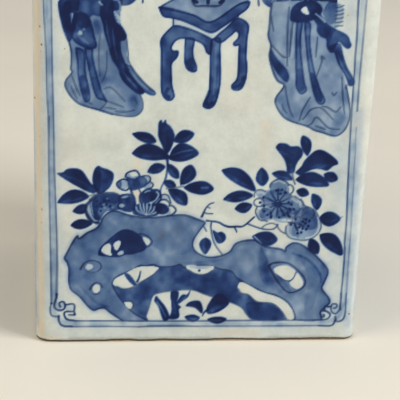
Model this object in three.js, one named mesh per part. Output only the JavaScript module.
// A square porcelain flask with a cap-shaped cover, in millimetres, +Z up.
// The origin is the centre of the resting face and the front wall faces -Y.
// The flask is one fired piece: four slightly flared slab walls with rounded corners, a flat
// unglazed base, a shoulder that runs from the square body to a round seat, and a short neck.
// The cover is a second fired piece, a turned cap that slips loosely over the neck.
import * as THREE from "three";

// Body, measured outside
const footWidth = 108; // across the flats at the resting face
const shoulderWidth = 113; // across the flats at the top of the walls
const wallHeight = 186; // resting face to where the walls turn into the shoulder
const cornerRadius = 5; // upright corners, seen from above
const footRadius = 0.8; // softened edge round the resting face
const shoulderRadius = 6; // round from wall to shoulder, seen from the side
const shoulderSlope = 8; // degrees that the shoulder rises towards the neck

// Body, thickness of the slabs
const wallThickness = 5.5;
const baseThickness = 7;
const shoulderThickness = 6;

// Neck
const neckRadius = 19; // outside
const neckHeight = 20; // above the seat of the cover
const neckWall = 4;
const lipRadius = 1.5; // rounded edges of the mouth

// Cover
const coverClearance = 0.8; // between the neck and the skirt, all round
const coverWall = 3.2;
const coverHeadroom = 1.4; // above the lip, so that the cover stands on its skirt
const coverTopThickness = 3.6; // at the edge of the crown
const coverCrown = 2.4; // rise of the crown to its middle
const coverEdgeRadius = 2.6; // from the skirt to the crown
const rimRadius = 0.9; // lower edge of the skirt
const seatGap = 0.3; // between the skirt and the seat
const seatMargin = 2.2; // flat seat showing outside the skirt

// Fineness of the surfaces
const sideSteps = 14; // along each flat side of a ring
const cornerSteps = 8; // round each corner of a ring
const arcSteps = 5; // in each rounded edge of a profile
const coverSegments = 72;

// Sizes that follow from the ones above
const footHalf = footWidth / 2;
const shoulderHalf = shoulderWidth / 2;
const coverInnerRadius = neckRadius + coverClearance;
const coverOuterRadius = coverInnerRadius + coverWall;
const seatRadius = coverOuterRadius + seatMargin;
const boreRadius = neckRadius - neckWall;
const slope = THREE.MathUtils.degToRad(shoulderSlope);

// Points of an arc seen in profile, as [distance from the axis, height] pairs.
// The angles are in radians, counter-clockwise from the outward direction.
function arc(centreReach, centreHeight, radius, from, to, steps = arcSteps) {
  return Array.from({ length: steps + 1 }, (_, i) => {
    const angle = from + ((to - from) * i) / steps;
    return [centreReach + radius * Math.cos(angle), centreHeight + radius * Math.sin(angle)];
  });
}

// Distance from the axis to a square with rounded corners, in one direction.
// A square whose corner radius is its half width is a circle.
function squareReach(half, radius, angle) {
  const c = Math.abs(Math.cos(angle));
  const s = Math.abs(Math.sin(angle));
  const flat = half - radius;
  if (half * s <= flat * c) return half / c;
  if (half * c <= flat * s) return half / s;
  const along = flat * (c + s);
  return along + Math.sqrt(along * along - 2 * flat * flat + radius * radius);
}

// Directions of the points of every ring, closer together round the four corners.
function ringAngles() {
  const quarter = Math.PI / 2;
  const corner = 2 * (Math.PI / 4 - Math.atan2(footHalf - cornerRadius, footHalf));
  const angles = [];
  for (let side = 0; side < 4; side += 1) {
    const start = side * quarter + Math.PI / 4;
    for (let i = 0; i < cornerSteps; i += 1) {
      angles.push(start + corner * (i / cornerSteps - 0.5));
    }
    for (let i = 0; i < sideSteps; i += 1) {
      angles.push(start + corner / 2 + ((quarter - corner) * i) / sideSteps);
    }
  }
  return angles;
}

// A closed solid through a stack of rings, each { half, radius, height }, with flat ends.
function loft(rings) {
  const angles = ringAngles();
  const count = angles.length;
  const positions = [];
  for (const { half, radius, height } of rings) {
    for (const angle of angles) {
      const reach = squareReach(half, Math.min(radius, half), angle);
      positions.push(reach * Math.cos(angle), reach * Math.sin(angle), height);
    }
  }
  const indices = [];
  for (let level = 0; level < rings.length - 1; level += 1) {
    for (let i = 0; i < count; i += 1) {
      const a = level * count + i;
      const b = level * count + ((i + 1) % count);
      indices.push(a, b, b + count, a, b + count, a + count);
    }
  }
  const firstCentre = positions.length / 3;
  positions.push(0, 0, rings[0].height, 0, 0, rings[rings.length - 1].height);
  const lastRing = (rings.length - 1) * count;
  for (let i = 0; i < count; i += 1) {
    const next = (i + 1) % count;
    indices.push(firstCentre, next, i);
    indices.push(firstCentre + 1, lastRing + i, lastRing + next);
  }
  const geometry = new THREE.BufferGeometry();
  geometry.setAttribute("position", new THREE.Float32BufferAttribute(positions, 3));
  geometry.setIndex(indices);
  geometry.computeVertexNormals();
  return geometry;
}

// Rings that turn a rounded square into a circle while the surface climbs at the shoulder's slope.
function shoulderRings(from, toRadius, steps) {
  return Array.from({ length: steps }, (_, i) => {
    const share = (i + 1) / steps;
    const half = THREE.MathUtils.lerp(from.half, toRadius, share);
    const radius = THREE.MathUtils.lerp(from.radius, toRadius, share ** 2);
    const height = from.height + (from.half - half) * Math.tan(slope);
    return { half, radius, height };
  });
}

// Height that the shoulder reaches where it meets the flat seat of the cover.
function shoulderTop(topHalf, topHeight) {
  return topHeight + (topHalf - seatRadius) * Math.tan(slope);
}

const roundStart = shoulderHalf - shoulderRadius; // centre of the shoulder's round
const roundTopHalf = roundStart + shoulderRadius * Math.sin(slope);
const roundTopHeight = wallHeight + shoulderRadius * Math.cos(slope);
const seatHeight = shoulderTop(roundTopHalf, roundTopHeight);
const mouthHeight = seatHeight + neckHeight;

// The outside of the flask, from the resting face up to the mouth.
function outerRings() {
  const foot = arc(footHalf - footRadius, footRadius, footRadius, -Math.PI / 2, 0).map(
    ([half, height]) => ({ half, radius: cornerRadius, height }),
  );
  const turn = arc(roundStart, wallHeight, shoulderRadius, 0, Math.PI / 2 - slope).map(
    ([half, height]) => ({ half, radius: cornerRadius, height }),
  );
  const shoulder = shoulderRings(turn[turn.length - 1], seatRadius, 7);
  const neck = [{ half: neckRadius, radius: neckRadius, height: seatHeight }];
  const outerLip = arc(neckRadius - lipRadius, mouthHeight - lipRadius, lipRadius, 0, Math.PI / 2);
  const innerLip = arc(boreRadius + lipRadius, mouthHeight - lipRadius, lipRadius, Math.PI / 2, Math.PI);
  const lip = [...outerLip, ...innerLip].map(([radius, height]) => ({ half: radius, radius, height }));
  return [...foot, ...turn, ...shoulder, ...neck, ...lip];
}

// The hollow, from the mouth down to the floor.
function innerRings() {
  const innerCorner = Math.max(cornerRadius - wallThickness, 1.5);
  const innerTop = shoulderHalf - wallThickness;
  const innerFoot = footHalf - wallThickness;
  const ceiling = wallHeight + shoulderRadius - shoulderThickness;
  const square = { half: innerTop, radius: innerCorner, height: ceiling };
  const roof = shoulderRings(square, boreRadius, 6).reverse();
  const floorRound = arc(innerFoot - footRadius, baseThickness + footRadius, footRadius, 0, -Math.PI / 2);
  const floor = floorRound.map(([half, height]) => ({ half, radius: innerCorner, height }));
  return [...roof, square, ...floor];
}

// The cap, from the middle of its underside, round the skirt, to the middle of its crown.
function coverProfile() {
  const rimHeight = seatHeight + seatGap;
  const insideTop = mouthHeight + coverHeadroom;
  const edgeTop = insideTop + coverTopThickness;
  const crownReach = coverOuterRadius - coverEdgeRadius;
  const crownRadius = (crownReach ** 2 + coverCrown ** 2) / (2 * coverCrown);
  const crownLean = Math.asin(crownReach / crownRadius);
  const inside = [[0, insideTop], [coverInnerRadius, insideTop]];
  const innerRim = arc(coverInnerRadius + rimRadius, rimHeight + rimRadius, rimRadius, Math.PI, 1.5 * Math.PI, 3);
  const outerRim = arc(coverOuterRadius - rimRadius, rimHeight + rimRadius, rimRadius, -Math.PI / 2, 0, 3);
  const edge = arc(crownReach, edgeTop - coverEdgeRadius, coverEdgeRadius, 0, Math.PI / 2 - crownLean / 2);
  const crown = arc(0, edgeTop + coverCrown - crownRadius, crownRadius, Math.PI / 2 - crownLean, Math.PI / 2, 7);
  return [...inside, ...innerRim, ...outerRim, ...edge, ...crown.slice(1, -1), [0, edgeTop + coverCrown]];
}

const porcelain = new THREE.MeshStandardMaterial({ color: 0xd3d4cb, roughness: 0.16, metalness: 0 });

const flaskBody = new THREE.Mesh(loft([...outerRings(), ...innerRings()]), porcelain);
flaskBody.name = "flask_body";

const coverGeometry = new THREE.LatheGeometry(
  coverProfile().map(([x, y]) => new THREE.Vector2(x, y)),
  coverSegments,
);
coverGeometry.rotateX(Math.PI / 2); // a lathe turns about Y, and the flask stands along Z
const cover = new THREE.Mesh(coverGeometry, porcelain.clone());
cover.name = "cover";

const flask = new THREE.Group();
flask.add(flaskBody, cover);

export default flask;
